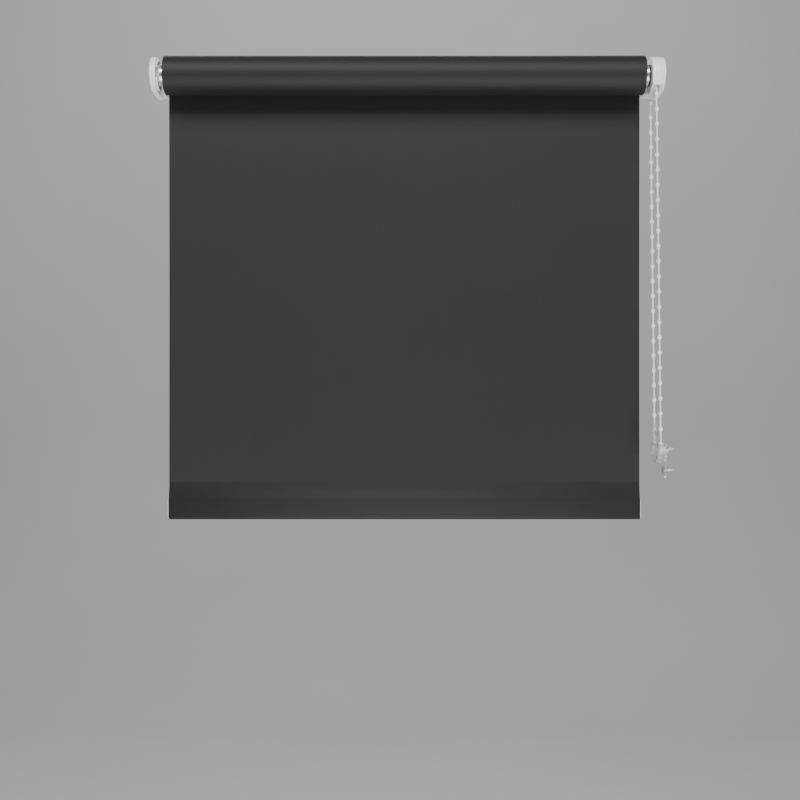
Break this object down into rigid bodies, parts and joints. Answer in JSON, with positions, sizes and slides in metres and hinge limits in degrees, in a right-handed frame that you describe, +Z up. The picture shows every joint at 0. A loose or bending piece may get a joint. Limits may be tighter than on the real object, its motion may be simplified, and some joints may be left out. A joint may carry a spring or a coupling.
{
  "type": "roller blind",
  "caption": "Chain-operated roller blind: fabric wound on a keyed aluminium tube between two wall brackets, with a wrap-spring clutch, an endless ball chain and a side tensioner.",
  "frame": {"origin": "centre of the left bracket's wall face, level with the roller's axis", "axes": "+X along the roller towards the chain side, -Y into the room, +Z up"},
  "size_m": [0.512, 0.0603, 0.455],
  "materials": {
    "blackout_fabric": "fine plain weave with a matte coating",
    "white_plastic": "satin moulded plastic",
    "grey_plastic": "fine moulded texture",
    "dark_plastic": "fine moulded texture",
    "clear_plastic": "clear polished plastic",
    "aluminium": "extruded, saw-cut and lightly polished at the ends",
    "plated_steel": "zinc plated"
  },
  "bodies": {
    "brackets": {"left_bracket_base": "white_plastic", "left_bracket_cover": "white_plastic", "left_bracket_screw_upper": "plated_steel", "left_bracket_screw_lower": "plated_steel", "right_bracket_base": "white_plastic", "right_bracket_cover": "white_plastic", "right_bracket_screw_upper": "plated_steel", "right_bracket_screw_lower": "plated_steel", "clutch_core": "grey_plastic", "core_retaining_clip": "plated_steel", "brake_spring_inner": "plated_steel", "brake_spring_outer": "plated_steel", "chain_guard": "white_plastic", "ball_chain": "white_plastic", "chain_connector": "clear_plastic", "tensioner_base": "clear_plastic", "tensioner_cover": "clear_plastic", "tensioner_screw_upper": "plated_steel", "tensioner_screw_lower": "plated_steel"},
    "roller": {"roller_tube": "aluminium", "fabric_roll": "blackout_fabric", "fabric_spline": "white_plastic", "idle_plug": "white_plastic", "idle_bush": "white_plastic", "idle_pin_spring": "plated_steel", "drive_barrel": "dark_plastic"},
    "chain_wheel": {"chain_wheel": "white_plastic"},
    "idle_pin": {"idle_pin": "plated_steel"},
    "bottom_bar": {"bottom_bar": "aluminium", "bottom_bar_cap_left": "grey_plastic", "bottom_bar_cap_right": "grey_plastic", "hem_pocket": "blackout_fabric", "fabric_drop": "blackout_fabric"}
  },
  "joints": [
    {"name": "roller_spin", "type": "hinge", "parent": "brackets", "child": "roller", "pos_m": [0, -0.025, 0], "axis": [1, 0, 0], "range_deg": [-720, 1140]},
    {"name": "chain_wheel_turn", "type": "hinge", "parent": "brackets", "child": "chain_wheel", "pos_m": [0.4768, -0.025, 0], "axis": [1, 0, 0], "range_deg": [-721, 1141], "deforming": ["ball_chain"]},
    {"name": "bar_lift", "type": "slide", "parent": "brackets", "child": "bottom_bar", "axis": [0, 0, 1], "range_m": [-0.237, 0.375], "deforming": ["fabric_drop"]},
    {"name": "idle_pin_slide", "type": "slide", "parent": "roller", "child": "idle_pin", "axis": [1, 0, 0], "range_m": [0, 0.007], "stiffness_N_per_m": 500, "springref_m": -0.003, "deforming": ["idle_pin_spring"]}
  ],
  "couplings": [
    {"joint": "chain_wheel_turn", "follows": "roller_spin", "ratio": 1},
    {"joint": "bar_lift", "follows": "roller_spin", "m_per_rad": 0.0188}
  ]
}
